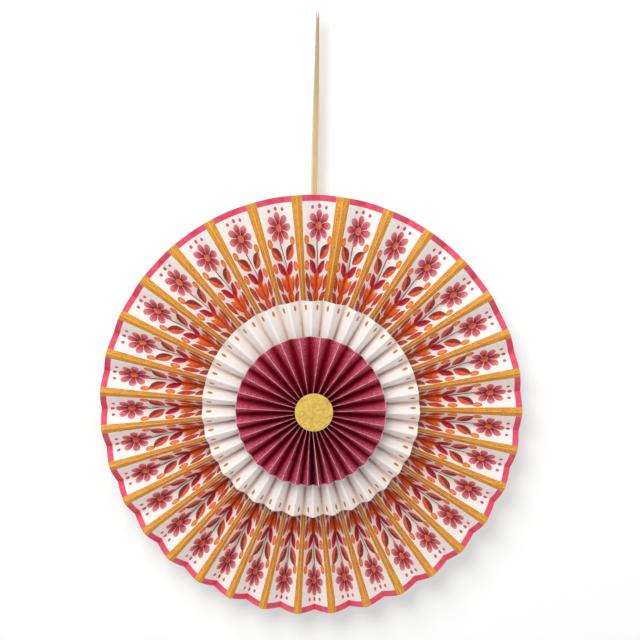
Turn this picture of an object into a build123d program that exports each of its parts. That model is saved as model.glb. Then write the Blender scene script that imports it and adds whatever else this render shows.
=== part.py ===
from build123d import *
import os
from dataclasses import dataclass
from math import atan2, cos, hypot, pi, radians, sin, sqrt, tan

os.makedirs("parts", exist_ok=True)

# Paper fan rosette: three pleated paper fans, glued hub to hub and hung from a ribbon.
# Millimetres. +Z is up, the printed side faces -Y, and the origin is the top of the hanging loop.

# Paper, card and glue
paper_thickness = 0.3
backing_thickness = 0.5
rear_card_thickness = 1.0
gold_card_thickness = 0.6
plug_clearance = 0.2  # between a glue plug and the paper edges round it
hub_fold_width = 0.1  # flat inside a fold where the pleats are gathered

# Large printed fan. A rim depth is measured from the front folds to the back folds.
outer_radius = 200.0
outer_hub_radius = 7.0
outer_rim_depth = 17.7
outer_fold_width = 1.0
outer_lap_width = 12.0  # the strip's two ends overlap over this width, across one front fold
outer_pleats = 33
outer_first_angle = 7.5

# White fan, whose folds are soft and broad
middle_radius = 102.0
middle_hub_radius = 7.0
middle_rim_depth = 15.0
middle_fold_width = 3.0
middle_pleats = 32
middle_first_angle = -1.6

# Burgundy fan
inner_radius = 70.0
inner_hub_radius = 6.0
inner_rim_depth = 10.2
inner_fold_width = 1.4
inner_pleats = 30
inner_first_angle = 5.0

# Hand folding and hanging leave the pleats uneven, wider at the top and closer at the bottom.
# Each row is waves in a turn, size as a share of a radian, and lean in degrees.
outer_uneven_shares = ((1, 0.124, -7.4), (2, 0.013, 4.2), (3, 0.0065, -11.0))
middle_uneven_shares = ((1, 0.060, 3.3), (2, 0.011, 28.6), (3, 0.013, 75.6))
inner_uneven_shares = ((1, 0.178, 2.2), (2, 0.020, -69.3), (3, 0.022, 19.0), (5, 0.0125, 1.9))

# Where each sheet is faceted, as shares of the way from its hub to its rim
outer_ring_shares = (0, 0.25, 0.5, 0.75, 1)
small_ring_shares = (0, 0.35, 0.7, 1)

# Discs and glue
gold_disc_radius = 17.7
gold_disc_shift = 3.0  # the gold disc is stuck on a little to the right
middle_disc_radius = 22.0
inner_disc_radius = 18.0
rear_disc_radius = 28.0
rear_glue_radius = 23.0
rear_glue_thickness = 1.4

# Hanging ribbon. Its two strands run up behind the fan, draw together and turn edge on over the nail.
hang_drop = 371.0  # from the top of the loop down to the hub
ribbon_width = 6.0
ribbon_thickness = 0.3
ribbon_clearance = 0.3  # round the ribbon, in the glue
ribbon_seat_y = 1.3  # the ribbon's place behind the hub, where it is glued
ribbon_end_height = 3.0  # the ribbon's ends, above the hub's centre

# One strand's route from the loop's top to its end: across from the middle, along Y and up,
# with its layer in front or behind as a distance along Y. The other strand mirrors it.
ribbon_route = (
    (0.5, 0.0, 0.15, 0.0),
    (0.95, 0.0, -0.4, 0.0),
    (0.9, 0.0, -3.0, 0.0),
    (0.65, 0.0, -9.0, 0.0),
    (0.5, 0.0, -25.0, 0.0),
    (0.6, 0.0, -60.0, 0.0),
    (1.1, 0.0, -105.0, 0.0),
    (1.15, 0.2, -165.0, 0.0),
    (1.2, 0.5, -220.0, 0.1),
    (1.2, 1.0, -272.0, 0.2),
    (1.2, 1.3, -311.0, 0.28),
    (1.2, 1.3, -341.0, 0.3),
    (1.2, 1.3, ribbon_end_height - hang_drop, 0.3),
)
twist_start = -348.0  # height where the strands begin to turn from flat, most of it close to the loop
ribbon_half_span = 1.2  # between the middle and a strand's centre, at the hub


@dataclass
class Fan:
    # A strip of paper folded into pleats and closed into a ring, hub_y being its rear face at the hub
    radius: float
    hub_radius: float
    rim_depth: float
    fold_width: float
    pleats: int
    first_angle: float
    uneven_shares: tuple
    ring_shares: tuple
    hub_y: float = 0.0
    lap_width: float = 0.0

    def panel_width(self):
        # The paper from one fold to the next, the same from hub to rim
        return hypot(pi * self.radius / self.pleats, self.rim_depth)

    def fold(self, turn):
        # The angle of a fold from straight up, and how far the pleats are spread there
        waves = [(n, size, n * turn + radians(lean)) for n, size, lean in self.uneven_shares]
        angle = turn + sum(size * sin(phase) for n, size, phase in waves)
        return angle, 1 + sum(n * size * cos(phase) for n, size, phase in waves)

    def half_depth(self, radius, spread=1.0):
        # Half the height of the zigzag, which is what the panel's width leaves over from the pitch
        half_pitch = radius * pi / self.pleats * spread
        return sqrt(self.panel_width() ** 2 - half_pitch**2) / 2

    def hub_depth(self):
        return 2 * self.half_depth(self.hub_radius)

    def front_y(self):
        # The front of the hub, which the lap of the strip's ends raises by one more paper
        return self.hub_y - self.hub_depth() - (paper_thickness if self.lap_width > 0 else 0)


def fan_point(fan, radius, angle, across, depth):
    # A point on the sheet: across is along the arc from a fold, depth is towards the front
    turned = angle + across / radius
    middle_y = fan.hub_y - fan.hub_depth() / 2
    return Vector(radius * sin(turned), middle_y - depth, radius * cos(turned) - hang_drop)


def fold_section(fan, radius, spread, lapped):
    # One fold's right half, as (across, depth) points from its crest down: outside, then inside
    height = fan.half_depth(radius, spread)
    share = (radius - fan.hub_radius) / (fan.radius - fan.hub_radius)
    inside = (hub_fold_width + share * fan.fold_width) / 2
    half_pitch = radius * pi / fan.pleats * spread
    drop = 2 * height - paper_thickness
    run = half_pitch - 2 * inside - paper_thickness
    mitre = paper_thickness * tan(atan2(drop, run) / 2)
    crest = inside + mitre
    if not lapped:
        return [(crest, height)], [(inside, height - paper_thickness)]
    length = hypot(run, drop)
    along, out = Vector(run, -drop) / length, Vector(drop, run) / length
    edge = Vector(crest, height) + along * (fan.lap_width / 2)
    top = edge + out * paper_thickness
    behind = Vector(inside, height - paper_thickness) + along * (fan.lap_width / 2)
    outside = [(crest + mitre, height + paper_thickness), (top.X, top.Y), (edge.X, edge.Y)]
    step = along * paper_thickness
    inner = [(inside, height - paper_thickness)]
    inner += [(behind.X - step.X, behind.Y - step.Y), (behind.X + step.X, behind.Y + step.Y)]
    return outside, inner


def fan_outlines(fan, radius):
    # The sheet's front and rear lines round the fan at one radius, with as many points each
    front, rear = [], []
    for half in range(2 * fan.pleats):
        angle, spread = fan.fold(radians(fan.first_angle) + half * pi / fan.pleats)
        outside, inside = fold_section(fan, radius, spread, fan.lap_width > 0 and half == 0)
        side = 1 if half % 2 == 0 else -1
        for line, points in ((front, outside if side == 1 else inside), (rear, inside if side == 1 else outside)):
            both = [(-across, depth) for across, depth in reversed(points)] + points
            line += [fan_point(fan, radius, angle, across, side * depth) for across, depth in both]
    return front, rear


def facets(inner, outer):
    # Triangles between two closed lines; each diagonal ends on the outer line's front point
    faces = []
    for i in range(len(inner)):
        j = (i + 1) % len(inner)
        if outer[i].Y < outer[j].Y:
            corners = (inner[i], inner[j], outer[i]), (inner[j], outer[j], outer[i])
        else:
            corners = (inner[i], inner[j], outer[j]), (inner[i], outer[j], outer[i])
        faces += [Face(Wire.make_polygon(three, close=True)) for three in corners]
    return faces


def make_fan(fan):
    # The folded sheet: front, rear, the cut edge at the rim and the one at the hub
    radii = [fan.hub_radius + share * (fan.radius - fan.hub_radius) for share in fan.ring_shares]
    lines = [fan_outlines(fan, radius) for radius in radii]
    faces = facets(*lines[0]) + facets(*lines[-1])
    for inner, outer in zip(lines, lines[1:]):
        faces += facets(inner[0], outer[0]) + facets(inner[1], outer[1])
    return Solid(Shell(faces))


def disc(radius, thickness, rear_y, shift=0.0):
    # A round card in the fan's plane, its rear face at rear_y
    centre = Plane(origin=(shift, rear_y, -hang_drop), z_dir=(0, -1, 0))
    return extrude(centre * Circle(radius), thickness)


def ribbon_section(point, tangent, turn):
    # The ribbon's four corners at one place of its route
    across = Vector(sin(turn), -cos(turn), 0) * (ribbon_width / 2)
    through = tangent.cross(across).normalized() * (ribbon_thickness / 2)
    return [point + across + through, point - across + through,
            point - across - through, point + across - through]


def make_ribbon():
    # Both strands in one band, from one glued end over the loop to the other
    left = [(Vector(-x, y - layer, z), z) for x, y, z, layer in reversed(ribbon_route)]
    right = [(Vector(x, y + layer, z), z) for x, y, z, layer in ribbon_route]
    route = left + right
    print("ribbon runs", [round((b[0] - a[0]).length, 1) for a, b in zip(route, route[1:])])
    sections = []
    for i, (point, height) in enumerate(route):
        before, after = route[max(i - 1, 0)][0], route[min(i + 1, len(route) - 1)][0]
        turn = pi / 2 * sqrt(min(1, max(0, height / twist_start)))
        sections.append(ribbon_section(point, (after - before).normalized(), turn))
    faces = []
    for a, b in zip(sections, sections[1:]):
        faces += facets(a, b)
    for end in (sections[0], sections[-1]):
        faces += [Face(Wire.make_polygon(end[:3], close=True)),
                  Face(Wire.make_polygon([end[0], end[2], end[3]], close=True))]
    return Solid(Shell(faces))


def make_rear_glue():
    # A pad of glue behind the hub, with the ribbon bedded in it
    pad = disc(rear_glue_radius, rear_glue_thickness, ribbon_seat_y + rear_glue_thickness / 2)
    low = ribbon_end_height - ribbon_clearance
    wide = ribbon_width + 2 * (ribbon_half_span + ribbon_clearance)
    tall = rear_glue_radius - low
    bed = Box(wide, 2 * rear_glue_thickness, tall, align=(Align.CENTER, Align.CENTER, Align.MIN))
    return pad - Pos(0, ribbon_seat_y, low - hang_drop) * bed


def make_plug(fan):
    # Glue that fills the middle of a fan's hub from its rear face to its front face
    return disc(fan.hub_radius - plug_clearance, fan.hub_y - fan.front_y(), fan.hub_y)


# The stack, from the wall to the front
rear_card_y = ribbon_seat_y + rear_glue_thickness / 2 + rear_card_thickness
outer_fan = Fan(outer_radius, outer_hub_radius, outer_rim_depth, outer_fold_width, outer_pleats,
                outer_first_angle, outer_uneven_shares, outer_ring_shares,
                ribbon_seat_y - rear_glue_thickness / 2, outer_lap_width)
middle_fan = Fan(middle_radius, middle_hub_radius, middle_rim_depth, middle_fold_width, middle_pleats,
                 middle_first_angle, middle_uneven_shares, small_ring_shares,
                 outer_fan.front_y() - backing_thickness)
inner_fan = Fan(inner_radius, inner_hub_radius, inner_rim_depth, inner_fold_width, inner_pleats,
                inner_first_angle, inner_uneven_shares, small_ring_shares,
                middle_fan.front_y() - backing_thickness)

parts = {
    "outer_fan": make_fan(outer_fan),
    "middle_fan": make_fan(middle_fan),
    "inner_fan": make_fan(inner_fan),
    "gold_disc": disc(gold_disc_radius, gold_card_thickness, inner_fan.front_y(), gold_disc_shift),
    "inner_disc": disc(inner_disc_radius, backing_thickness, middle_fan.front_y()),
    "middle_disc": disc(middle_disc_radius, backing_thickness, outer_fan.front_y()),
    "rear_disc": disc(rear_disc_radius, rear_card_thickness, rear_card_y),
    "rear_glue": make_rear_glue(),
    "outer_plug": make_plug(outer_fan),
    "middle_plug": make_plug(middle_fan),
    "inner_plug": make_plug(inner_fan),
    "hanging_ribbon": make_ribbon(),
}
for name, part in parts.items():
    export_step(part, f"parts/{name}.step")
    print(name, "volume", round(part.volume, 1), "faces", len(part.faces()))
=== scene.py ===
import math
import bpy
import numpy as np
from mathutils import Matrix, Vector


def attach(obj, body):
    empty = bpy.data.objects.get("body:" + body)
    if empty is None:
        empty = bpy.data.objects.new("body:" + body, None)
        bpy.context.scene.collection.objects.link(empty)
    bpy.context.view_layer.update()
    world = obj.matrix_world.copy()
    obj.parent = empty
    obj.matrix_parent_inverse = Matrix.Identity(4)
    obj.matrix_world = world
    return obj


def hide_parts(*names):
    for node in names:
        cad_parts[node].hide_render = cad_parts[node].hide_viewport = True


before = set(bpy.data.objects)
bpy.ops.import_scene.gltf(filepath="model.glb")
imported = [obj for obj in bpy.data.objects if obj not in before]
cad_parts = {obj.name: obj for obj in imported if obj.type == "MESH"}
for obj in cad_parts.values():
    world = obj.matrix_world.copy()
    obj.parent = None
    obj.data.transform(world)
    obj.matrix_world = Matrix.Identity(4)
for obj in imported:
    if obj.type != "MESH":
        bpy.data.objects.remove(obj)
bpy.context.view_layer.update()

millimetre = 0.001
hubHeight = -371.0  # mm, the hub below the top of the hanging loop


def linearColour(hexCode):
    # An sRGB hex value as the linear colour that a shader takes
    parts = np.array([int(hexCode[i:i + 2], 16) for i in (1, 3, 5)]) / 255
    linear = np.where(parts <= 0.04045, parts / 12.92, ((parts + 0.055) / 1.055) ** 2.4)
    return (*[float(x) for x in linear], 1.0)


def addNode(tree, kind, inputs=None, **settings):
    # One node with its settings, and its inputs as values or as links from other sockets
    node = tree.nodes.new("ShaderNode" + kind)
    for name, value in settings.items():
        setattr(node, name, value)
    for key, value in (inputs or {}).items():
        if isinstance(value, bpy.types.NodeSocket):
            tree.links.new(value, node.inputs[key])
        else:
            node.inputs[key].default_value = value
    return node


cameraSettings = {
    "distance": 1.70,        # m from the point it looks at
    "elevation": 5.4,        # degrees, looking slightly down
    "roll": 1.0,             # degrees, the photograph leans to the right
    "fieldOfView": 20.2,     # degrees
    "lookAt": (0.0071, -0.012, -0.2892),
}


def makeCamera(settings):
    data = bpy.data.cameras.new("camera")
    data.sensor_width = 36
    data.lens = 18 / math.tan(math.radians(settings["fieldOfView"] / 2))
    data.clip_start, data.clip_end = 0.05, 30
    camera = bpy.data.objects.new("camera", data)
    bpy.context.scene.collection.objects.link(camera)
    up, distance = math.radians(settings["elevation"]), settings["distance"]
    x, y, z = settings["lookAt"]
    camera.location = (x, y - distance * math.cos(up), z + distance * math.sin(up))
    camera.rotation_euler = (math.pi / 2 - up, 0, 0)
    camera.rotation_euler.rotate_axis("Z", math.radians(settings["roll"]))
    bpy.context.scene.camera = camera


makeCamera(cameraSettings)

lightSettings = {
    # place and width in metres, and watts: the key from the upper left, a weak fill, and one behind the wall
    "lamps": {
        "keyLamp": ((-1.10, -2.50, 1.66), 2.5, 70),
        "fillLamp": ((1.4, -2.2, -0.2), 2.0, 6.5),
        "rearLamp": ((0.9, 2.2, 0.4), 2.0, 16),
    },
    "roomLight": 0.54,       # even light from all round
    "wallY": 0.014,          # m, the fan hangs a little off the wall
    "wallReach": 4.0,        # m from the middle to each side
    "wallWhite": "#FFFFFF",
    "wallGlow": 0.03,        # lifts the wall to white for the camera alone
}


def makeLamp(name, place, size, watts):
    # A round area lamp aimed at the hub
    data = bpy.data.lights.new(name, "AREA")
    data.shape, data.size, data.energy = "DISK", size, watts
    lamp = bpy.data.objects.new(name, data)
    bpy.context.scene.collection.objects.link(lamp)
    lamp.location = place
    aim = np.array((0, 0, hubHeight * millimetre)) - np.array(place)
    lamp.rotation_euler = Vector(aim).to_track_quat("-Z", "Y").to_euler()


def makeWorld(settings):
    # Even light all round, which is plain white where the camera or a reflection sees it
    world = bpy.data.worlds.new("room")
    bpy.context.scene.world = world
    world.use_nodes = True
    tree = world.node_tree
    tree.nodes.clear()
    rays = addNode(tree, "LightPath")
    seen = addNode(tree, "Math", {0: rays.outputs["Is Camera Ray"], 1: rays.outputs["Is Glossy Ray"]},
                   operation="MAXIMUM")
    strength = addNode(tree, "MapRange", {
        "Value": seen.outputs[0], "To Min": settings["roomLight"], "To Max": 1.0})
    light = addNode(tree, "Background", {"Color": (1, 1, 1, 1), "Strength": strength.outputs[0]})
    addNode(tree, "OutputWorld", {"Surface": light.outputs[0]})


def makeWall(settings):
    # A white wall that shows only from its front
    wall = bpy.data.materials.new("matt white wall paint")
    wall.use_nodes = True
    tree = wall.node_tree
    tree.nodes.clear()
    rays = addNode(tree, "LightPath")
    glow = addNode(tree, "Math", {0: rays.outputs["Is Camera Ray"], 1: settings["wallGlow"]},
                   operation="MULTIPLY")
    paint = addNode(tree, "BsdfDiffuse", {"Color": linearColour(settings["wallWhite"])})
    lit = addNode(tree, "Emission", {"Color": (1, 1, 1, 1), "Strength": glow.outputs[0]})
    front = addNode(tree, "AddShader", {0: paint.outputs[0], 1: lit.outputs[0]})
    clear = addNode(tree, "BsdfTransparent")
    side = addNode(tree, "NewGeometry")
    both = addNode(tree, "MixShader", {
        0: side.outputs["Backfacing"], 1: front.outputs[0], 2: clear.outputs[0]})
    addNode(tree, "OutputMaterial", {"Surface": both.outputs[0]})

    y, far = settings["wallY"], settings["wallReach"]
    mesh = bpy.data.meshes.new("backdrop")
    mesh.from_pydata([(-far, y, -far), (far, y, -far), (far, y, far), (-far, y, far)], [], [(0, 1, 2, 3)])
    mesh.materials.append(wall)
    backdrop = bpy.data.objects.new("backdrop", mesh)
    bpy.context.scene.collection.objects.link(backdrop)
    # the back of the fan is lit as if it hung free
    backdrop.visible_diffuse = backdrop.visible_glossy = False
    backdrop.visible_transmission = backdrop.visible_shadow = False


for name, lamp in lightSettings["lamps"].items():
    makeLamp(name, *lamp)
makeWorld(lightSettings)
makeWall(lightSettings)
print("camera, lamps and wall are in place")


def gridPiece(name, points, sheetMap, rowMaterials, materials, node, closedRows=False, sharpAngle=50,
              layout=None):
    # A surface closed round its columns, from an array of rows by columns by xyz. Its first and last rows
    # meet when closedRows is True, and otherwise each is closed with a fan of triangles to its middle.
    # sheetMap is the place on the flat sheet in millimetres, which the materials read. layout is a second map,
    # one place for each corner of each face, through which the exported piece's pictures are painted.
    rows, columns, _ = points.shape
    corners = points.reshape(-1, 3)
    i, j = np.meshgrid(np.arange(rows if closedRows else rows - 1), np.arange(columns), indexing="ij")
    nextRow, nextColumn = (i + 1) % rows, (j + 1) % columns
    quads = np.stack([i * columns + j, i * columns + nextColumn,
                      nextRow * columns + nextColumn, nextRow * columns + j], -1).reshape(-1, 4)
    mapped = np.stack([sheetMap[i, j], sheetMap[i, j + 1],
                       sheetMap[nextRow, j + 1], sheetMap[nextRow, j]], -2).reshape(-1, 2)
    faces, faceMaterials = quads.tolist(), rowMaterials[i].ravel().tolist()
    if not closedRows:
        for row, turn in ((0, 1), (rows - 1, 0)):
            middle = len(corners)
            corners = np.vstack([corners, points[row].mean(0)])
            ring = row * columns + np.arange(columns)
            following = np.roll(ring, -1)
            ends = (following, ring) if turn else (ring, following)
            faces += np.stack([*ends, np.full(columns, middle)], -1).tolist()
            faceMaterials += [int(rowMaterials[min(row, rows - 2)])] * columns
            edge, centre = sheetMap[row], sheetMap[row].mean(0)
            ends = (edge[1:], edge[:-1]) if turn else (edge[:-1], edge[1:])
            closing = np.stack([*ends, np.broadcast_to(centre, (columns, 2))], 1)
            mapped = np.vstack([mapped, closing.reshape(-1, 2)])
    mesh = bpy.data.meshes.new(name)
    mesh.from_pydata(corners.tolist(), [], faces)
    mesh.uv_layers.new(name="sheet").data.foreach_set("uv", mapped.astype(np.float32).ravel())
    if layout is not None:
        mesh.uv_layers.new(name="OFBake").data.foreach_set("uv", layout.astype(np.float32).ravel())
    for material in materials:
        mesh.materials.append(material)
    mesh.polygons.foreach_set("material_index", faceMaterials)
    mesh.polygons.foreach_set("use_smooth", [True] * len(faces))
    mesh.set_sharp_from_angle(angle=math.radians(sharpAngle))
    mesh.update()
    piece = bpy.data.objects.new(name, mesh)
    bpy.context.scene.collection.objects.link(piece)
    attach(piece, "root")
    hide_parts(node)
    print(name, "has", sum(len(face) - 2 for face in faces), "triangles")
    return piece


def newMaterial(name, sockets):
    # A material, its tree, and its Principled shader with what is even all over on its own sockets
    material = bpy.data.materials.new(name)
    material.use_nodes = True
    tree = material.node_tree
    tree.nodes.clear()
    shader = addNode(tree, "BsdfPrincipled", sockets)
    addNode(tree, "OutputMaterial", {"Surface": shader.outputs[0]})
    return material, tree, shader


def dressShader(tree, shader, colour, relief, strength, depth=0.0002):
    # Colour and a fine relief, its depth in metres
    bump = addNode(tree, "Bump", {"Height": relief, "Strength": strength, "Distance": depth})
    tree.links.new(colour, shader.inputs["Base Color"])
    tree.links.new(bump.outputs[0], shader.inputs["Normal"])


def layColours(tree, colour, layers):
    # Colours laid one over the other, each where its own mask is 1
    for laid, mask in layers:
        colour = addNode(tree, "MixRGB", {"Fac": mask, "Color1": colour, "Color2": laid}).outputs[0]
    return colour


def rampOf(tree, value, low, high, colours):
    # Colours spread evenly from low to high
    spread = addNode(tree, "MapRange", {"Value": value, "From Min": low, "From Max": high})
    ramp = addNode(tree, "ValToRGB", {"Fac": spread.outputs[0]})
    elements = ramp.color_ramp.elements
    while len(elements) < len(colours):
        elements.new(0.5)
    for i, colour in enumerate(colours):
        elements[i].position = i / (len(colours) - 1)
        elements[i].color = linearColour(colour)
    return ramp.outputs["Color"]


noiseRange = (0.3, 0.7)  # nearly all of a noise's values lie between these


def paperGrain(tree, cells, detail=3.0):
    # Fine noise on the object's own coordinates, with so many cells to a metre. Paper's own grain is too fine for
    # the picture, so it is drawn about 1 mm wide.
    place = addNode(tree, "TexCoord")
    return addNode(tree, "TexNoise", {
        "Vector": place.outputs["Object"], "Scale": cells, "Detail": detail})


ribbonSettings = {
    "width": 6.0, "thickness": 0.3,
    "selvedge": 0.12,        # the woven edges are this share thicker
    "twistHeight": -348.0,   # mm, where the strands lie flat against the card
    # from the loop's top to the end of the right strand: across, along Y, up and the strand's layer, in mm
    "strand": (
        (0.5, 0.0, 0.15, 0.0), (0.95, 0.0, -0.4, 0.0), (0.9, 0.0, -3.0, 0.0), (0.65, 0.0, -9.0, 0.0),
        (0.5, 0.0, -25.0, 0.0), (0.6, 0.0, -60.0, 0.0), (1.1, 0.0, -105.0, 0.0), (1.15, 0.2, -165.0, 0.0),
        (1.2, 0.5, -220.0, 0.1), (1.2, 1.0, -272.0, 0.2), (1.2, 1.3, -311.0, 0.28), (1.2, 1.3, -341.0, 0.3),
        (1.2, 1.3, -368.0, 0.3)),
    "glueExit": (0.0012, 0.0013, -0.343),   # m, where a strand leaves the glue
    "colours": ("#E0B98A", "#EECDA2"), "selvedgeColour": "#D2A77A",
    "selvedgeFrom": (2.4, 2.8),             # mm from the ribbon's middle
    "floats": (3.2, 0.04, 1.0),             # streaks to a millimetre, across and along
    # warmer and darker near the loop, where the strands shade each other: mm along the ribbon
    "loopRun": 368.6, "loopTint": "#E4D7C4", "tintReach": 130.0,
    "surface": {"Roughness": 0.42, "Sheen Weight": 0.25, "Sheen Roughness": 0.4, "Subsurface Weight": 0.8,
                "Subsurface Radius": (1.0, 0.9, 0.7), "Subsurface Scale": 0.003},
    "relief": 0.35,
}


def satinRibbon(settings):
    # Woven polyester satin: long floats along the ribbon give it a soft streaky gloss, and it lets light through
    material, tree, shader = newMaterial("champagne polyester satin", settings["surface"])
    dark, light = (linearColour(colour) for colour in settings["colours"])
    place = addNode(tree, "UVMap", uv_map="sheet")
    stretched = addNode(tree, "Mapping", {"Vector": place.outputs[0], "Scale": settings["floats"]})
    floats = addNode(tree, "TexNoise", {
        "Vector": stretched.outputs[0], "Scale": 1.0, "Detail": 4.0, "Roughness": 0.6})
    acrossAlong = addNode(tree, "SeparateXYZ", {0: place.outputs[0]})
    fromMiddle = addNode(tree, "Math", {0: acrossAlong.outputs[0]}, operation="ABSOLUTE")
    low, high = settings["selvedgeFrom"]
    selvedge = addNode(tree, "MapRange", {
        "Value": fromMiddle.outputs[0], "From Min": low, "From Max": high})
    colour = layColours(tree, dark, (
        (light, floats.outputs["Fac"]), (linearColour(settings["selvedgeColour"]), selvedge.outputs[0])))
    pastLoop = addNode(tree, "Math", {0: acrossAlong.outputs[1], 1: settings["loopRun"]},
                       operation="SUBTRACT")
    fromLoop = addNode(tree, "Math", {0: pastLoop.outputs[0]}, operation="ABSOLUTE")
    tint = rampOf(tree, fromLoop.outputs[0], 0.0, settings["tintReach"], (settings["loopTint"], "#FFFFFF"))
    shaded = addNode(tree, "MixRGB", {"Fac": 1.0, "Color1": colour, "Color2": tint},
                     blend_type="MULTIPLY")
    dressShader(tree, shader, shaded.outputs[0], floats.outputs["Fac"], settings["relief"])
    return material


def ribbonPath(settings):
    # The ribbon's centreline in metres, read from one smooth NURBS curve through its route
    left = [(-x, y - layer, z) for x, y, z, layer in reversed(settings["strand"])]
    right = [(x, y + layer, z) for x, y, z, layer in settings["strand"]]
    route = np.array(left + right) * millimetre
    curve = bpy.data.curves.new("ribbonRoute", "CURVE")
    curve.dimensions = "3D"
    spline = curve.splines.new("NURBS")
    spline.points.add(len(route) - 1)
    spline.points.foreach_set("co", np.c_[route, np.ones(len(route))].ravel())
    spline.order_u = 3
    spline.use_endpoint_u = True
    spline.resolution_u = 12
    holder = bpy.data.objects.new("ribbonRoute", curve)
    line = bpy.data.meshes.new_from_object(holder)
    path = np.zeros(len(line.vertices) * 3)
    line.vertices.foreach_get("co", path)
    bpy.data.objects.remove(holder)
    bpy.data.curves.remove(curve)
    bpy.data.meshes.remove(line)
    return path.reshape(-1, 3)


def makeRibbon(settings):
    # A flat band carried along the path. Its width lies along Y at the loop and turns until it is flat
    # at the card: across = (sin turn, -cos turn, 0), with turn growing as the root of the drop. Its section is
    # thickness * root of (1 - share ** 14), share being the place from the middle to an edge.
    path = ribbonPath(settings)
    steps = np.gradient(path, axis=0)
    along = steps / np.linalg.norm(steps, axis=1, keepdims=True)
    turn = math.pi / 2 * np.sqrt(np.clip(path[:, 2] / millimetre / settings["twistHeight"], 0, 1))
    across = np.stack([np.sin(turn), -np.cos(turn), np.zeros_like(turn)], -1)
    through = np.cross(along, across)
    through /= np.linalg.norm(through, axis=1, keepdims=True)
    half, thick = settings["width"] / 2, settings["thickness"] / 2
    shares = np.array([1, 0.97, 0.9, 0.6, 0.2, -0.2, -0.6, -0.9, -0.97, -1])
    lift = thick * np.sqrt(np.clip(1 - np.abs(shares) ** 14, 0.0, 1))
    lift *= 1 + settings["selvedge"] * (np.abs(shares) > 0.85)
    depths = np.r_[lift, -lift[::-1][1:-1]] * millimetre
    sides = np.r_[shares * half, shares[::-1][1:-1] * half] * millimetre
    points = path[:, None] + across[:, None] * sides[None, :, None] + through[:, None] * depths[None, :, None]
    run = np.r_[0, np.cumsum(np.linalg.norm(np.diff(path, axis=0), axis=1))] / millimetre
    wide = np.r_[sides, sides[:1]] / millimetre
    sheetMap = np.stack(np.broadcast_arrays(wide[None, :], run[:, None]), -1)
    ribbon = gridPiece("hangingRibbon", points, sheetMap, np.zeros(len(path), int), [satinRibbon(settings)],
                       "hanging_ribbon")
    print("ribbon length in mm", round(float(run[-1]), 1))


makeRibbon(ribbonSettings)


def foldAngles(fan, place):
    # place counts folds round the fan, even at the front. The angle grows evenly with it, plus slow waves.
    turn = math.radians(fan["firstAngle"]) + place * math.pi / fan["pleats"]
    waves = [(n, size, n * turn + math.radians(lean)) for n, size, lean in fan["waves"]]
    angle = turn + sum(size * np.sin(phase) for n, size, phase in waves)
    spread = 1 + sum(n * size * np.cos(phase) for n, size, phase in waves)
    return angle, spread


def panelWidth(fan):
    # The paper between two folds, the same from hub to rim
    return math.hypot(math.pi * fan["radius"] / fan["pleats"], fan["rimDepth"])


def foldPlaces(fan):
    # Where the sheet's columns lie, counted in folds, and which of them lie on the lap of the strip's ends. They
    # crowd at the folds, at (1 - cosine(pi * share)) / 2 of a panel, and stand in pairs at the lap's edges.
    folds, lapHalf, step, near = 2 * fan["pleats"], fan["lapWidth"] / 2 / panelWidth(fan), 0.0012, 0.0001
    inPanel = 0.5 - 0.5 * np.cos(np.pi * np.arange(fan["columns"]) / fan["columns"])
    place = (np.arange(folds)[:, None] + inPanel).ravel()
    if not lapHalf:
        return place, np.zeros(len(place), bool)
    place = np.sort(np.r_[place, lapHalf, lapHalf + step, folds - lapHalf, folds - lapHalf - step])
    return place, (place <= lapHalf + near) | (place >= folds - lapHalf - near)


layoutBands = {
    "front": 0.86,                        # the pleats' share of the square's height
    "reach": (0.01, 0.98),                # a panel's share of its row, from hub to rim
    "rear": (0.96, 0.09),                 # top and height of the back's band
    "rimCut": (0.965, 0.975), "hubCut": (0.985, 0.995),
}


def pleatLayout(fan, strip, rowRadii, bands):
    # The sheet laid out flat in the unit square, so that the exported piece's pictures are sharp where it shows:
    # the front's pleats stand side by side in a few rows, with little room for what the next fan hides, and the
    # back and the cut edges lie in narrow bands above them
    pleat, across = 2 * panelWidth(fan), fan["layoutColumns"]
    down = math.ceil(fan["pleats"] / across)
    number = np.floor(strip[:-1] / pleat + 1e-6)
    sides = np.stack([strip[:-1], strip[1:], strip[1:], strip[:-1]], -1)
    inPleat = sides / pleat - number[:, None]
    radii = np.stack([rowRadii, rowRadii, np.roll(rowRadii, -1), np.roll(rowRadii, -1)], -1)
    low, high = bands["reach"]
    upwards = np.interp(radii, (fan["hubRadius"], fan["hiddenRadius"], fan["radius"]),
                        (low, fan["hiddenShare"], high))
    count = fan["rows"]
    layout = np.zeros((2 * count, len(number), 4, 2))
    layout[..., 0] = sides / strip[-1]
    front, rear = layout[:count - 1], layout[count:-1]
    front[..., 0] = (number[:, None] % across + inPleat) / across
    front[..., 1] = (number[None, :, None] // across + upwards[:count - 1, None]) / down * bands["front"]
    rearTop, rearTall = bands["rear"]
    rear[..., 1] = rearTop - rearTall * upwards[count:-1, None]
    layout[count - 1, ..., 1] = np.repeat(bands["rimCut"], 2)
    layout[-1, ..., 1] = np.repeat(bands["hubCut"], 2)
    return layout


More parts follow.
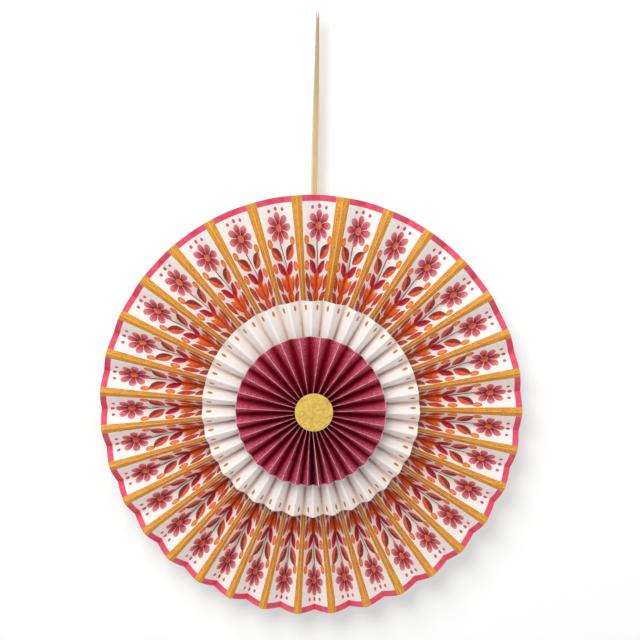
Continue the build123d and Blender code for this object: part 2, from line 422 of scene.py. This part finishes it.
def foldedSheet(fan, place, radii, rowShares):
    # The middle of the sheet is a zigzag: height = half depth * arcsine(k * cosine(pi * place)) / arcsine(k),
    # with k near 1 for a sharp fold. The half depth is what the panel's width leaves over from the pitch at
    # that radius. To it comes bulge * sine(pi * share of the panel), which bows each panel to the front.
    random = np.random.default_rng(fan["seed"])
    folds, width = 2 * fan["pleats"], panelWidth(fan)
    before, share = np.floor(place).astype(int), place % 1
    after = (before + 1) % folds

    def perFold(size):
        # Small uneven steps from fold to fold
        values = random.normal(0, size, folds).clip(-2 * size, 2 * size)
        return values[before] * (1 - share) + values[after] * share

    angle, spread = foldAngles(fan, place)
    angle = angle + np.radians(perFold(fan["angleWander"]))
    outwards, towardsRim = (radii / fan["radius"])[:, None], rowShares[:, None]
    pitch = radii[:, None] * math.pi / fan["pleats"] * spread
    height = np.sqrt(width ** 2 - pitch ** 2) / 2 - fan["thickness"] / 2
    height = height * (1 - np.abs(perFold(fan["depthWander"])) * outwards)
    wave = np.cos(math.pi * place)
    frontFold = fan["frontFold"] + (fan["rimFold"] - fan["frontFold"]) * towardsRim ** 2
    sharpness = fan["rearFold"] + (frontFold - fan["rearFold"]) * (0.5 + 0.5 * wave)
    zigzag = np.arcsin(sharpness * wave) / np.arcsin(sharpness)
    bulge = random.normal(fan["bulge"], fan["bulge"] * 0.2, folds)[before] * np.sin(math.pi * share)
    depth = height * zigzag + bulge * outwards * (1 - fan["rimFlatness"] * towardsRim ** 4)
    hubDepth = math.sqrt(width ** 2 - (fan["hubRadius"] * math.pi / fan["pleats"]) ** 2)
    middleY = fan["rearY"] - hubDepth / 2
    angles = np.broadcast_to(angle, depth.shape)
    return np.stack([radii[:, None] * np.sin(angles), middleY - depth,
                     radii[:, None] * np.cos(angles) + hubHeight], -1)


def makeFan(fan, materials, node):
    # The folded sheet with its paper's thickness: half of it to each side along the sheet's own direction,
    # and one paper more on the lap
    place, onLap = foldPlaces(fan)
    rowShares = np.linspace(0, 1, fan["rows"]) ** fan["rowCrowding"]
    radii = fan["hubRadius"] + (fan["radius"] - fan["hubRadius"]) * rowShares
    sheet = foldedSheet(fan, place, radii, rowShares)
    roundFan = np.roll(sheet, -1, 1) - np.roll(sheet, 1, 1)
    normal = np.cross(roundFan, np.gradient(sheet, axis=0))
    normal /= np.linalg.norm(normal, axis=2, keepdims=True)
    lift = fan["thickness"] * (0.5 + onLap)
    front = sheet + normal * lift[None, :, None]
    rear = sheet - normal * (fan["thickness"] / 2)
    points = np.concatenate([front, rear[::-1]]) * millimetre
    strip = np.r_[place, 2 * fan["pleats"]] * panelWidth(fan)
    rowRadii = np.r_[radii, radii[::-1]]
    sheetMap = np.stack(np.broadcast_arrays(strip[None, :], rowRadii[:, None]), -1)
    # front, cut edge at the rim, back, cut edge at the hub
    panels = fan["rows"] - 1
    rowMaterials = np.r_[np.zeros(panels, int), 1, np.full(panels, 2), 1]
    return gridPiece(fan["name"], points, sheetMap, rowMaterials, materials, node, closedRows=True,
                     sharpAngle=fan["sharpAngle"], layout=pleatLayout(fan, strip, rowRadii, layoutBands))


# Sizes of a fan are in millimetres and as in the CAD model. waves, in (waves to a turn, size, lean), spread the
# pleats unevenly. A fold of 1 is sharp and one of 0.9 soft; rimFold is the front folds' at the rim. angleWander is
# in degrees and depthWander a share. bulge bows the panels, and rimFlatness takes that away towards the rim.
# hiddenRadius, hiddenShare and layoutColumns shape the flat layout.
printedFan = {
    "name": "printedFan", "radius": 200.0, "hubRadius": 7.0, "rimDepth": 17.7, "pleats": 33, "firstAngle": 7.5,
    "waves": ((1, 0.124, -7.4), (2, 0.013, 4.2), (3, 0.0065, -11.0)),
    "rearY": 0.6, "thickness": 0.3, "lapWidth": 12.0,
    "frontFold": 0.9993, "rearFold": 0.9993, "rimFold": 0.9993,
    "columns": 12, "rows": 26, "rowCrowding": 0.9, "sharpAngle": 50,
    "angleWander": 0.07, "depthWander": 0.015, "bulge": 1.8, "rimFlatness": 0.0, "seed": 4,
    "hiddenRadius": 96.0, "hiddenShare": 0.16, "layoutColumns": 11,
}

whiteFan = {
    "name": "whiteFan", "radius": 102.0, "hubRadius": 7.0, "rimDepth": 15.0, "pleats": 32, "firstAngle": -1.6,
    "waves": ((1, 0.060, 3.3), (2, 0.011, 28.6), (3, 0.013, 75.6)),
    "rearY": -26.19, "thickness": 0.3, "lapWidth": 0.0,
    "frontFold": 0.90, "rearFold": 0.965, "rimFold": 0.993,
    "columns": 12, "rows": 22, "rowCrowding": 0.9, "sharpAngle": 60,
    "angleWander": 0.10, "depthWander": 0.015, "bulge": 2.4, "rimFlatness": 0.75, "seed": 7,
    "hiddenRadius": 65.0, "hiddenShare": 0.16, "layoutColumns": 8,
}

burgundyFan = {
    "name": "burgundyFan", "radius": 70.0, "hubRadius": 6.0, "rimDepth": 10.2, "pleats": 30, "firstAngle": 5.0,
    "waves": ((1, 0.178, 2.2), (2, 0.020, -69.3), (3, 0.022, 19.0), (5, 0.0125, 1.9)),
    "rearY": -44.71, "thickness": 0.3, "lapWidth": 0.0,
    "frontFold": 0.998, "rearFold": 0.996, "rimFold": 0.998,
    "columns": 10, "rows": 20, "rowCrowding": 0.9, "sharpAngle": 60,
    "angleWander": 0.12, "depthWander": 0.02, "bulge": 0.9, "rimFlatness": 0.0, "seed": 11,
    "hiddenRadius": 16.0, "hiddenShare": 0.06, "layoutColumns": 10,
}

# Print on the large fan, in millimetres of paper: x from the middle of a pleat, which is a rear fold, and y from
# the hub
printSettings = {
    "white": "#F8F3EE",
    "softness": 0.22,                     # of the sprigs' edges
    "wander": 1.3,                        # how far a shape may stray, as one painted by hand
    "grainCells": 900.0, "mottleCells": 110.0, "brushCells": 420.0,
    "gamma": (0.70, 1.20),                # of the colours where the ink lies thin and thick
    "stem": {"colour": "#8A3E2E", "half": 0.8, "size": 1.8, "pace": 0.11, "top": 163.0, "softness": 0.15},
    "inks": {
        "spear": ("#BC4630",), "berry": ("#D2442C", "#F28C38"), "tulip": ("#D8482E", "#F08A3A"),
        "bud": ("#A90C28", "#D4304A"), "leaf": ("#8A2E26", "#E0603A"), "dot": ("#C75A72",)},
    # form, its sides (1 in the middle alone, or 2), x, y, turn in degrees, half length, half width, ink, and where
    # the ink changes across the shape. A shape painted later lies over the earlier ones.
    "motifs": (
        ("leaf", 2, 16.2, 118.5, -16.0, 9.6, 3.9, "spear", None),
        ("leaf", 2, 12.6, 104.0, -44.0, 8.6, 3.8, "spear", None),
        ("leaf", 2, 17.6, 89.0, -14.0, 9.0, 3.6, "spear", None),
        ("leaf", 2, 9.0, 84.0, -40.0, 9.0, 4.0, "spear", None),
        ("leaf", 2, 16.4, 68.0, -14.0, 9.0, 3.6, "spear", None),
        ("leaf", 2, 8.0, 62.0, -36.0, 8.4, 3.8, "spear", None),
        ("ellipse", 1, 0.0, 104.5, 0.0, 6.2, 6.2, "berry", (1.0, 0.4)),    # the tulip's foot, its sides and middle
        ("leaf", 2, 6.2, 116.0, -32.0, 10.4, 4.5, "tulip", (0.7, -0.5)),
        ("leaf", 2, 0.0, 120.0, 0.0, 11.0, 5.6, "tulip", (0.0, 0.8)),
        ("leaf", 2, 7.2, 132.0, -34.0, 8.6, 4.2, "bud", (-0.5, 0.9)),
        ("leaf", 2, 10.2, 147.0, -40.0, 10.0, 5.6, "leaf", (-0.08, 0.08)),
        ("ellipse", 2, 16.2, 158.0, 0.0, 4.4, 3.3, "berry", (1.0, 0.5)),
        ("ellipse", 2, 17.0, 134.0, 0.0, 4.8, 3.6, "berry", (1.0, 0.5)),
        ("ellipse", 2, 0.0, 189.6, 0.0, 2.2, 2.0, "dot", None),
        ("ellipse", 2, 8.2, 188.4, 0.0, 1.8, 1.7, "dot", None)),
    "blossom": {"y": 171.0, "petals": 8, "valley": 7.2, "reach": 8.2, "gap": 0.11, "heart": (0.55, 0.85),
                "colours": ("#84222E", "#CA5864", "#E08C8A"), "spread": (4.4, 15.2),
                "eye": "#E47C58", "eyeRadius": 4.0, "eyeSoftness": 0.4},
    "rim": {"from": 194.2, "softness": 0.12, "colours": ("#DC4664", "#EA607A")},
    "stripe": {"half": (4.7, 6.0), "widens": 100.0, "lapHalf": 7.6, "softness": 0.12,
               "inner": ("#AC6018", "#D18328", "#E79D3D"), "outer": ("#B9701E", "#DF9733", "#F2B246"),
               "spread": (0.72, 1.30), "between": (110.0, 190.0), "streaks": (0.9, 0.09, 1.0),
               # a painted highlight along the fold: its colour, its reach in mm from the fold, and its share
               "fold": "#F8CC66", "foldReach": (0.6, 0.2), "foldShare": 0.45},
    "roughness": (0.62, 0.45),            # of the paper and of the gold ink
    "surface": {"Specular IOR Level": 0.35}, "relief": 0.12,
}


def shapeMask(tree, place, form, x, y, turn, long, wide, soft):
    # 1 inside a shape and 0 outside, and the measure by which its colour may change. The place is taken from the
    # shape's middle, along its two axes and in their lengths. An ellipse lies where root of (across squared +
    # along squared) is under 1, and a pointed leaf where |across| + along squared is.
    own = addNode(tree, "Mapping", {
        "Vector": place, "Location": (x, y, 0), "Rotation": (0, 0, math.radians(turn)),
        "Scale": (wide, long, 1)}, vector_type="TEXTURE")
    if form == "ellipse":
        length = addNode(tree, "VectorMath", {0: own.outputs[0]}, operation="LENGTH")
        reach = measure = length.outputs["Value"]
    else:
        parts = addNode(tree, "SeparateXYZ", {0: own.outputs[0]})
        across = addNode(tree, "Math", {0: parts.outputs[0]}, operation="ABSOLUTE")
        total = addNode(tree, "Math", {0: parts.outputs[1], 1: parts.outputs[1], 2: across.outputs[0]},
                        operation="MULTIPLY_ADD")
        reach, measure = total.outputs[0], parts.outputs[0]
    edge = soft / wide
    mask = addNode(tree, "MapRange", {"Value": reach, "From Min": 1 + edge, "From Max": 1 - edge})
    return mask.outputs[0], measure


def flowerMask(tree, place, flower, soft):
    # 1 inside a round flower and 0 outside: its edge is valley + reach * root of |cosine(petals * angle / 2)|
    moved = addNode(tree, "VectorMath", {0: place, 1: (0, flower["y"], 0)}, operation="SUBTRACT")
    parts = addNode(tree, "SeparateXYZ", {0: moved.outputs[0]})
    angle = addNode(tree, "Math", {0: parts.outputs[0], 1: parts.outputs[1]}, operation="ARCTAN2")
    turned = addNode(tree, "Math", {0: angle.outputs[0], 1: flower["petals"] / 2}, operation="MULTIPLY")
    wave = addNode(tree, "Math", {0: turned.outputs[0]}, operation="COSINE")
    size = addNode(tree, "Math", {0: wave.outputs[0]}, operation="ABSOLUTE")
    root = addNode(tree, "Math", {0: size.outputs[0], 1: 0.5}, operation="POWER")
    edge = addNode(tree, "Math", {0: root.outputs[0], 1: flower["reach"], 2: flower["valley"]},
                   operation="MULTIPLY_ADD")
    length = addNode(tree, "VectorMath", {0: moved.outputs[0]}, operation="LENGTH").outputs["Value"]
    inside = addNode(tree, "Math", {0: edge.outputs[0], 1: length}, operation="SUBTRACT")
    mask = addNode(tree, "MapRange", {"Value": inside.outputs[0], "From Min": -soft, "From Max": soft})
    # gaps between the petals, open down to the heart
    petal = addNode(tree, "MapRange", {
        "Value": size.outputs[0], "From Min": flower["gap"] * 0.7, "From Max": flower["gap"] * 1.3})
    low, high = (share * flower["valley"] for share in flower["heart"])
    heart = addNode(tree, "MapRange", {
        "Value": length, "From Min": low, "From Max": high, "To Min": 1.0, "To Max": 0.0})
    kept = addNode(tree, "Math", {0: petal.outputs[0], 1: heart.outputs[0]}, operation="MAXIMUM")
    final = addNode(tree, "Math", {0: mask.outputs[0], 1: kept.outputs[0]}, operation="MULTIPLY")
    return final.outputs[0], length


def pleatPlaces(tree, fan):
    # The place on the strip and in a pleat, in millimetres: x from its middle, which is a rear fold, and the
    # distances to that fold and to the nearest front fold
    width = panelWidth(fan)
    place = addNode(tree, "UVMap", uv_map="sheet")
    parts = addNode(tree, "SeparateXYZ", {0: place.outputs[0]})
    inPleat = addNode(tree, "Math", {0: parts.outputs[0], 1: 2 * width}, operation="FLOORED_MODULO")
    x = addNode(tree, "Math", {0: inPleat.outputs[0], 1: width}, operation="SUBTRACT")
    fromRear = addNode(tree, "Math", {0: x.outputs[0]}, operation="ABSOLUTE")
    fromFront = addNode(tree, "Math", {0: width, 1: fromRear.outputs[0]}, operation="SUBTRACT")
    return {"sheet": place.outputs[0], "strip": parts.outputs[0], "radius": parts.outputs[1],
            "x": x.outputs[0], "fromRear": fromRear.outputs[0], "fromFront": fromFront.outputs[0]}


def stemMask(tree, at, stem):
    # 1 on the stem, a slow wave along the sheet: x = size * sine(pace * y), up to the blossom
    along = addNode(tree, "Math", {0: at["radius"], 1: stem["pace"]}, operation="MULTIPLY")
    wave = addNode(tree, "Math", {0: along.outputs[0]}, operation="SINE")
    offset = addNode(tree, "Math", {0: wave.outputs[0], 1: -stem["size"], 2: at["x"]},
                     operation="MULTIPLY_ADD")
    fromStem = addNode(tree, "Math", {0: offset.outputs[0]}, operation="ABSOLUTE")
    inside = addNode(tree, "MapRange", {
        "Value": fromStem.outputs[0], "From Min": stem["half"] + stem["softness"],
        "From Max": stem["half"] - stem["softness"]})
    below = addNode(tree, "Math", {0: at["radius"], 1: stem["top"]}, operation="LESS_THAN")
    mask = addNode(tree, "Math", {0: inside.outputs[0], 1: below.outputs[0]}, operation="MULTIPLY")
    return mask.outputs[0]


def paintSprigs(tree, at, mottle, settings):
    # The stem, the leaves and berries on both sides of it, and the blossom, each a little off its place
    centred = addNode(tree, "VectorMath", {0: mottle.outputs["Color"], 1: (0.5, 0.5, 0.5)},
                      operation="SUBTRACT")
    shift = addNode(tree, "VectorMath", {0: centred.outputs[0], "Scale": settings["wander"]},
                    operation="SCALE")
    places = {}
    for sides, x in ((1, at["x"]), (2, at["fromRear"])):
        plain = addNode(tree, "CombineXYZ", {0: x, 1: at["radius"]})
        moved = addNode(tree, "VectorMath", {0: plain.outputs[0], 1: shift.outputs[0]}, operation="ADD")
        places[sides] = moved.outputs[0]
    layers = [(linearColour(settings["stem"]["colour"]), stemMask(tree, at, settings["stem"]))]
    for form, sides, x, y, turn, long, wide, ink, spread in settings["motifs"]:
        mask, measure = shapeMask(tree, places[sides], form, x, y, turn, long, wide, settings["softness"])
        inks = settings["inks"][ink]
        layers.append((rampOf(tree, measure, *spread, inks) if spread else linearColour(inks[0]), mask))
    blossom = settings["blossom"]
    mask, length = flowerMask(tree, places[1], blossom, settings["softness"])
    eye = addNode(tree, "MapRange", {
        "Value": length, "From Min": blossom["eyeRadius"] + blossom["eyeSoftness"],
        "From Max": blossom["eyeRadius"] - blossom["eyeSoftness"]})
    layers += [(rampOf(tree, length, *blossom["spread"], blossom["colours"]), mask),
               (linearColour(blossom["eye"]), eye.outputs[0])]
    return layColours(tree, linearColour(settings["white"]), layers)


def stripeMask(tree, fan, at, stripe):
    # 1 on the gold stripe along each front fold, which widens to the rim, and on the broader one over the lap
    fromEnd = addNode(tree, "Math", {0: 2 * fan["pleats"] * panelWidth(fan), 1: at["strip"]},
                      operation="SUBTRACT")
    fromLap = addNode(tree, "Math", {0: fromEnd.outputs[0], 1: at["strip"]}, operation="MINIMUM")
    onLap = addNode(tree, "Math", {0: fromLap.outputs[0], 1: stripe["lapHalf"]}, operation="LESS_THAN")
    narrow, broad = stripe["half"]
    half = addNode(tree, "MapRange", {
        "Value": at["radius"], "From Min": stripe["widens"], "From Max": fan["radius"],
        "To Min": narrow, "To Max": broad})
    inside = addNode(tree, "Math", {0: half.outputs[0], 1: at["fromFront"]}, operation="SUBTRACT")
    mask = addNode(tree, "MapRange", {
        "Value": inside.outputs[0], "From Min": -stripe["softness"], "From Max": stripe["softness"]})
    both = addNode(tree, "Math", {0: onLap.outputs[0], 1: mask.outputs[0]}, operation="MAXIMUM")
    return both.outputs[0]


def goldInk(tree, at, grain, stripe):
    # Gold ink in soft streaks along the stripe, deeper towards the hub, with a painted highlight on the fold
    stretched = addNode(tree, "Mapping", {"Vector": at["sheet"], "Scale": stripe["streaks"]})
    streaks = addNode(tree, "TexNoise", {"Vector": stretched.outputs[0], "Scale": 1.0, "Detail": 3.0})
    ink = addNode(tree, "Math", {0: streaks.outputs["Fac"], 1: grain.outputs["Fac"]}, operation="ADD")
    inner, outer = (rampOf(tree, ink.outputs[0], *stripe["spread"], stripe[part]) for part in ("inner", "outer"))
    outwards = rampOf(tree, at["radius"], *stripe["between"], ("#000000", "#FFFFFF"))
    # painted highlight along the front fold
    far, near = stripe["foldReach"]
    fold = addNode(tree, "MapRange", {
        "Value": at["fromFront"], "From Min": far, "From Max": near, "To Max": stripe["foldShare"]})
    return layColours(tree, inner, ((outer, outwards), (linearColour(stripe["fold"]), fold.outputs[0])))


def printedPaper(fan, settings):
    # Coated paper with a matt litho print, which looks painted by hand: flat colours that vary a little
    material, tree, shader = newMaterial("litho printed coated paper", settings["surface"])
    at = pleatPlaces(tree, fan)
    grain = paperGrain(tree, settings["grainCells"])
    mottle = paperGrain(tree, settings["mottleCells"], 2.0)
    colour = paintSprigs(tree, at, mottle, settings)

    # the ink lies thick and thin, which changes the colours and hardly the white
    brush = paperGrain(tree, settings["brushCells"])
    (low, high), (thin, thick) = noiseRange, settings["gamma"]
    gamma = addNode(tree, "MapRange", {
        "Value": brush.outputs["Fac"], "From Min": low, "From Max": high, "To Min": thin, "To Max": thick})
    colour = addNode(tree, "Gamma", {"Color": colour, "Gamma": gamma.outputs[0]}).outputs[0]

    rim, stripe = settings["rim"], settings["stripe"]
    onRim = addNode(tree, "MapRange", {
        "Value": at["radius"], "From Min": rim["from"] - rim["softness"], "From Max": rim["from"] + rim["softness"]})
    stripes = stripeMask(tree, fan, at, stripe)
    colour = layColours(tree, colour, (
        (rampOf(tree, mottle.outputs["Fac"], *noiseRange, rim["colours"]), onRim.outputs[0]),
        (goldInk(tree, at, grain, stripe), stripes)))
    paperRough, inkRough = settings["roughness"]
    rough = addNode(tree, "MapRange", {"Value": stripes, "To Min": paperRough, "To Max": inkRough})
    tree.links.new(rough.outputs[0], shader.inputs["Roughness"])
    dressShader(tree, shader, colour, grain.outputs["Fac"], settings["relief"])
    return material


# The dots lie in the middle of each panel, in millimetres of paper
dottedSettings = {
    "paper": ("#F7EEE8", "#FCF6F1"), "grainCells": 500.0,
    "fold": "#E0CFC8", "foldReach": 6.4,   # painted shade in the valleys, darker towards its rear folds
    "dot": "#C4822E", "fromRim": 6.2, "long": 2.8, "wide": 1.8, "softness": 0.2,
    "surface": {"Roughness": 0.6, "Specular IOR Level": 0.3}, "relief": 0.10,
}


def dottedPaper(fan, settings):
    # White coated paper with one ochre dot on each panel, close to the rim: smooth and matt, with painted shade
    # towards its rear folds
    material, tree, shader = newMaterial("white coated paper with ochre dots", settings["surface"])
    at = pleatPlaces(tree, fan)
    grain = paperGrain(tree, settings["grainCells"])
    place = addNode(tree, "CombineXYZ", {0: at["fromRear"], 1: at["radius"]})
    onDot, _ = shapeMask(tree, place.outputs[0], "ellipse", panelWidth(fan) / 2, fan["radius"] - settings["fromRim"],
                         0.0, settings["long"], settings["wide"], settings["softness"])
    # painted shade towards the rear folds
    fold = addNode(tree, "MapRange", {
        "Value": at["fromRear"], "From Min": settings["foldReach"], "From Max": 0.0},
        interpolation_type="SMOOTHSTEP")
    colour = layColours(tree, rampOf(tree, grain.outputs["Fac"], *noiseRange, settings["paper"]), (
        (linearColour(settings["fold"]), fold.outputs[0]), (linearColour(settings["dot"]), onDot)))
    dressShader(tree, shader, colour, grain.outputs["Fac"], settings["relief"])
    return material


burgundySettings = {
    # the dye's own dark colour, which the valleys keep, and a paler colour laid on towards the front folds and the
    # rim: partly rubbed dye, partly painted light, which leaves painted shade in the valleys and near the hub
    "deep": ("#7A0018", "#960828"), "rubbedAndLit": ("#B03854", "#CE687E"), "speck": "#DC8C9C",
    "fineCells": 900.0, "mottleCells": 160.0,
    "rubAndLightReach": 13.5, "rubAndLightFrom": 18.0, "leastRubAndLight": 0.25,   # mm from a fold at the rim, mm from the hub, and a share
    "specks": (0.52, 0.66, 0.7),                           # of the fine noise, and their share
    "crease": "#F4BCC4", "creaseHalf": 0.24, "patches": (0.36, 0.56, 0.2),
    "rimBand": 0.5, "rimShare": 0.75,                       # mm along the rim, and a share
    # the strip's ends meet at this front fold: its cut edge shows pale, and the pleat beside it gets painted shade,
    # as if it lay deeper
    "jointFold": 28, "jointHalf": 0.5, "jointColour": "#F0CCD2", "jointShade": "#4A0010", "shadeShare": 0.8,
    "surface": {"Roughness": 0.85, "Specular IOR Level": 0.1}, "relief": 0.25,
}


def rubAndLightShare(tree, fan, at, settings):
    # How much of the paler colour is laid on, partly as dye rubbed off and partly as painted light on the ridges,
    # with painted shade left in the valleys and towards the hub: it fades with the distance from a front fold, and
    # grows to the rim
    towardsRim = addNode(tree, "MapRange", {
        "Value": at["radius"], "From Min": settings["rubAndLightFrom"], "From Max": fan["radius"],
        "To Min": settings["leastRubAndLight"]})
    reach = addNode(tree, "Math", {0: towardsRim.outputs[0], 1: settings["rubAndLightReach"]},
                    operation="MULTIPLY")
    closeness = addNode(tree, "Math", {0: at["fromFront"], 1: reach.outputs[0]}, operation="DIVIDE")
    rubAndLight = addNode(tree, "MapRange", {
        "Value": closeness.outputs[0], "From Min": 1.0, "From Max": 0.0}, interpolation_type="SMOOTHSTEP")
    share = addNode(tree, "Math", {0: rubAndLight.outputs[0], 1: towardsRim.outputs[0]}, operation="MULTIPLY")
    return share.outputs[0]


def palestShare(tree, fan, at, mottle, settings):
    # The worn line along each front fold, in patches, and a pale band along the rim
    half = settings["creaseHalf"]
    worn = addNode(tree, "MapRange", {
        "Value": at["fromFront"], "From Min": half * 1.5, "From Max": half * 0.4})
    low, high, least = settings["patches"]
    patchy = addNode(tree, "MapRange", {
        "Value": mottle.outputs["Fac"], "From Min": low, "From Max": high, "To Min": least})
    crease = addNode(tree, "Math", {0: worn.outputs[0], 1: patchy.outputs[0]}, operation="MULTIPLY")
    onRim = addNode(tree, "Math", {0: at["radius"], 1: fan["radius"] - settings["rimBand"]},
                    operation="GREATER_THAN")
    rim = addNode(tree, "Math", {0: onRim.outputs[0], 1: settings["rimShare"]}, operation="MULTIPLY")
    both = addNode(tree, "Math", {0: crease.outputs[0], 1: rim.outputs[0]}, operation="MAXIMUM")
    return both.outputs[0]


def creasedPaper(fan, settings):
    # Dyed matt paper, rubbed pale and grainy on its front folds, with painted light towards the front folds and the
    # rim and painted shade towards the rear folds and the hub
    material, tree, shader = newMaterial("burgundy matt paper with worn folds and painted shading", settings["surface"])
    at, width = pleatPlaces(tree, fan), panelWidth(fan)
    fine = paperGrain(tree, settings["fineCells"], 2.0)
    mottle = paperGrain(tree, settings["mottleCells"], 4.0)
    # paler towards the front folds and the rim: rubbed dye with painted light, and painted shade where it stays dark
    share = rubAndLightShare(tree, fan, at, settings)
    low, high, most = settings["specks"]
    specks = addNode(tree, "MapRange", {
        "Value": fine.outputs["Fac"], "From Min": low, "From Max": high, "To Max": most})
    speckShare = addNode(tree, "Math", {0: specks.outputs[0], 1: share}, operation="MULTIPLY")
    # distances from the joint's fold and from the rear fold after it
    pastJoint = addNode(tree, "Math", {0: at["strip"], 1: settings["jointFold"] * width},
                        operation="SUBTRACT")
    fromJoint = addNode(tree, "Math", {0: pastJoint.outputs[0]}, operation="ABSOLUTE")
    pastShade = addNode(tree, "Math", {0: pastJoint.outputs[0], 1: width}, operation="SUBTRACT")
    fromShade = addNode(tree, "Math", {0: pastShade.outputs[0]}, operation="ABSOLUTE")
    # painted shade in the pleat beside the joint
    shade = addNode(tree, "MapRange", {
        "Value": fromShade.outputs[0], "From Min": width, "From Max": width * 0.4, "To Max": settings["shadeShare"]},
        interpolation_type="SMOOTHSTEP")
    joint = addNode(tree, "Math", {0: fromJoint.outputs[0], 1: settings["jointHalf"]},
                    operation="LESS_THAN")
    colour = layColours(tree, rampOf(tree, mottle.outputs["Fac"], *noiseRange, settings["deep"]), (
        (rampOf(tree, fine.outputs["Fac"], *noiseRange, settings["rubbedAndLit"]), share),
        (linearColour(settings["speck"]), speckShare.outputs[0]),
        (linearColour(settings["jointShade"]), shade.outputs[0]),
        (linearColour(settings["crease"]), palestShare(tree, fan, at, mottle, settings)),
        (linearColour(settings["jointColour"]), joint.outputs[0])))
    dressShader(tree, shader, colour, fine.outputs["Fac"], settings["relief"])
    return material


# name, dark and light colour, grain in millimetres and roughness, with one relief and gloss for all
plainSurface, plainRelief = {"Specular IOR Level": 0.3}, 0.15
plainPapers = {
    "whiteEdge": ("cut edge of white paper", ("#EDE6DC", "#F6F1EA"), 0.4, 0.75),
    "whiteBack": ("uncoated back of the printed paper", ("#EEE9E1", "#F4F0EA"), 0.5, 0.72),
    "printedEdge": ("cut edge of the printed paper", ("#F0C6CC", "#F6D9DC"), 0.4, 0.75),
    "burgundyEdge": ("cut edge of burgundy paper", ("#C97C90", "#DE9AAA"), 0.3, 0.8),
    "goldEdge": ("cut edge of the gold card", ("#DCC478", "#E9D27E"), 0.3, 0.6),
    "card": ("white card", ("#EAE4DA", "#F3EFE8"), 0.7, 0.75),
}


def plainPaper(name, colours, grain, roughness):
    # Uncoated paper: fine fibres give a faint mottle and a soft, dry surface
    material, tree, shader = newMaterial(name, {"Roughness": roughness, **plainSurface})
    fibres = paperGrain(tree, 1000 / grain, 4.0).outputs["Fac"]
    dressShader(tree, shader, rampOf(tree, fibres, *noiseRange, colours), fibres, plainRelief)
    return material


papers = {key: plainPaper(*values) for key, values in plainPapers.items()}
burgundy = creasedPaper(burgundyFan, burgundySettings)
makeFan(printedFan, [printedPaper(printedFan, printSettings), papers["printedEdge"], papers["whiteBack"]],
        "outer_fan")
makeFan(whiteFan, [dottedPaper(whiteFan, dottedSettings), papers["whiteEdge"], papers["whiteBack"]],
        "middle_fan")
makeFan(burgundyFan, [burgundy, papers["burgundyEdge"], burgundy], "inner_fan")
print("the three fans are folded")


goldDiscSettings = {
    "radius": 17.7, "shift": 3.0, "rearY": -57.26, "thickness": 0.6,
    "roundedEdge": 0.16, "rearEdge": 0.05,       # mm, the quarter circle in front and the bevel behind
    "rearFlat": 0.3, "edgeBand": 0.4,            # mm in from the edge: the back's first ring, and the cut edge
    "sides": 96, "rings": 10, "rearRings": 4, "firstRing": 1.0,
    "colours": ("#C9A03C", "#E2C05A"), "mottleCells": 320.0, "mottle": (0.32, 0.62),
    "speck": "#A8842C", "speckCells": 700.0, "specks": (0.55, 0.68, 0.6),   # of the fine noise, and their share
    "surface": {"Roughness": 0.5, "Metallic": 0.15}, "relief": 0.25, "reliefDepth": 0.0004,
}


def goldCard(settings):
    # Card with a matt gold foil print, faintly mottled where it was pressed over the glue
    material, tree, shader = newMaterial("matt gold printed card", settings["surface"])
    fine = paperGrain(tree, settings["speckCells"])
    mottle = paperGrain(tree, settings["mottleCells"])
    low, high, most = settings["specks"]
    specks = addNode(tree, "MapRange", {
        "Value": fine.outputs["Fac"], "From Min": low, "From Max": high, "To Max": most})
    colour = layColours(tree, rampOf(tree, mottle.outputs["Fac"], *settings["mottle"], settings["colours"]),
                        ((linearColour(settings["speck"]), specks.outputs[0]),))
    dressShader(tree, shader, colour, mottle.outputs["Fac"], settings["relief"], settings["reliefDepth"])
    return material


def makeGoldDisc(settings):
    # A round card turned about its middle: two flat faces, with the front one's edge a quarter circle
    radius, rounded, thick = settings["radius"], settings["roundedEdge"], settings["thickness"]
    rings, rearRings, first, bevel = (settings[key] for key in ("rings", "rearRings", "firstRing", "rearEdge"))
    bend, rearFlat = np.linspace(0, math.pi / 2, 4)[1:], radius - settings["rearFlat"]
    frontRadii = np.r_[np.linspace(first, radius - rounded, rings), radius - rounded + rounded * np.sin(bend)]
    frontDepths = np.r_[np.full(rings, thick), thick - rounded + rounded * np.cos(bend)]
    radii = np.r_[frontRadii, radius, radius - bevel, np.linspace(rearFlat, first, rearRings)]
    depths = np.r_[frontDepths, bevel, 0.0, np.zeros(rearRings)]
    around = np.linspace(0, 2 * math.pi, settings["sides"] + 1)
    flat = np.stack([radii[:, None] * np.sin(around), radii[:, None] * np.cos(around)], -1)
    heights = np.broadcast_to((settings["rearY"] - depths)[:, None], flat.shape[:2])
    turned = np.stack([settings["shift"] + flat[..., 0], heights, hubHeight + flat[..., 1]], -1)
    points = turned[:, :-1] * millimetre
    onEdge = radii > radius - settings["edgeBand"]
    rowMaterials = np.r_[(onEdge[:-1] & onEdge[1:]).astype(int), 0]
    gridPiece("goldDisc", points, flat, rowMaterials, [goldCard(settings), papers["goldEdge"]],
              "gold_disc")


makeGoldDisc(goldDiscSettings)

glueSettings = {"colours": ("#E3DCCB", "#F1ECDF"), "cloudCells": 90.0, "surface": {"Roughness": 0.35}}


def hotGlue(settings):
    # Set hot-melt glue: milky and smooth, with faint clouds
    material, tree, shader = newMaterial("hot melt glue", settings["surface"])
    clouds = paperGrain(tree, settings["cloudCells"], 2.0).outputs["Fac"]
    tree.links.new(rampOf(tree, clouds, *noiseRange, settings["colours"]), shader.inputs["Base Color"])
    return material


glue = hotGlue(glueSettings)
hubMaterials = {
    "middle_disc": papers["card"], "inner_disc": papers["card"], "rear_disc": papers["card"],
    "rear_glue": glue, "outer_plug": glue, "middle_plug": glue, "inner_plug": glue,
}
for name, material in hubMaterials.items():
    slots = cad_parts[name].data.materials
    slots.clear()
    slots.append(material)
print("discs and glue are dressed")

bpy.context.scene.view_settings.view_transform = "Standard"
